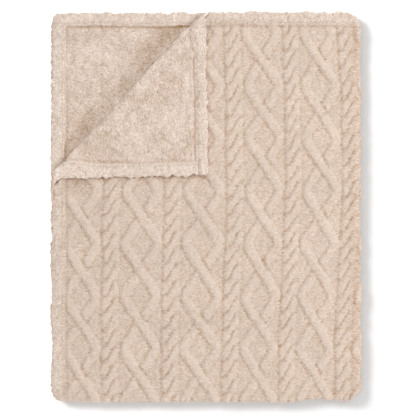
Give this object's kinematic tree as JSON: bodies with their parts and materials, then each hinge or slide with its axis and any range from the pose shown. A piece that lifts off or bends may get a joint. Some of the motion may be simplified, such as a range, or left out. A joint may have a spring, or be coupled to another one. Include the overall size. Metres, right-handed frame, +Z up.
{
  "type": "folded throw blanket",
  "caption": "Hemmed plush throw with a cable and diamond relief, folded flat in four, with the corner of its top layer turned back.",
  "frame": {"origin": "middle of the folded throw's footprint, on the surface it lies on", "axes": "+Z up out of the pile, +Y towards the open top edges, +X towards the folded side edge"},
  "size_m": [0.5988, 0.7512, 0.0345],
  "materials": {
    "plush_cloth": "sheared plush pile, soft sheen",
    "plush_hem": "plush pile, turned hem",
    "sewing_thread": "matt polyester thread"
  },
  "bodies": {
    "lower_half": {"bottom_layer_panel": "plush_cloth", "bottom_layer_top_hem": "plush_hem", "bottom_layer_left_hem": "plush_hem", "bottom_layer_stitching": "sewing_thread", "third_layer_panel": "plush_cloth", "third_layer_top_hem": "plush_hem", "third_layer_left_hem": "plush_hem", "third_layer_stitching": "sewing_thread", "lower_bottom_fold": "plush_cloth", "lower_corner_fold": "plush_cloth", "lower_bottom_hem_turn": "plush_hem", "lower_side_fold_outer": "plush_cloth", "lower_side_fold_inner": "plush_cloth", "lower_top_hem_turn_outer": "plush_hem", "lower_top_hem_turn_inner": "plush_hem", "lower_turn_stitching": "sewing_thread"},
    "upper_half": {"second_layer_panel": "plush_cloth", "second_layer_top_hem": "plush_hem", "second_layer_left_hem": "plush_hem", "second_layer_stitching": "sewing_thread", "top_layer_panel": "plush_cloth", "top_layer_top_hem": "plush_hem", "top_layer_left_hem": "plush_hem", "top_layer_stitching": "sewing_thread", "upper_bottom_fold": "plush_cloth", "upper_corner_fold": "plush_cloth", "upper_bottom_hem_turn": "plush_hem", "upper_side_fold_outer": "plush_cloth", "upper_side_fold_inner": "plush_cloth", "upper_top_hem_turn_outer": "plush_hem", "upper_top_hem_turn_inner": "plush_hem", "upper_turn_stitching": "sewing_thread", "crease_roll_lower": "plush_cloth"},
    "corner_flap": {"flap_panel": "plush_cloth", "flap_top_hem": "plush_hem", "flap_left_hem": "plush_hem", "flap_stitching": "sewing_thread", "crease_roll_upper": "plush_cloth"}
  },
  "joints": [
    {"name": "side_fold_opens", "type": "hinge", "parent": "lower_half", "child": "upper_half", "pos_m": [0.29938, 0, 0.01375], "axis": [0, 1, 0], "range_deg": [0, 180]},
    {"name": "corner_turns_back", "type": "hinge", "parent": "upper_half", "child": "corner_flap", "pos_m": [-0.29638, 0.06663, 0.02775], "axis": [-0.7013, -0.7129, 0], "range_deg": [0, 180]}
  ]
}
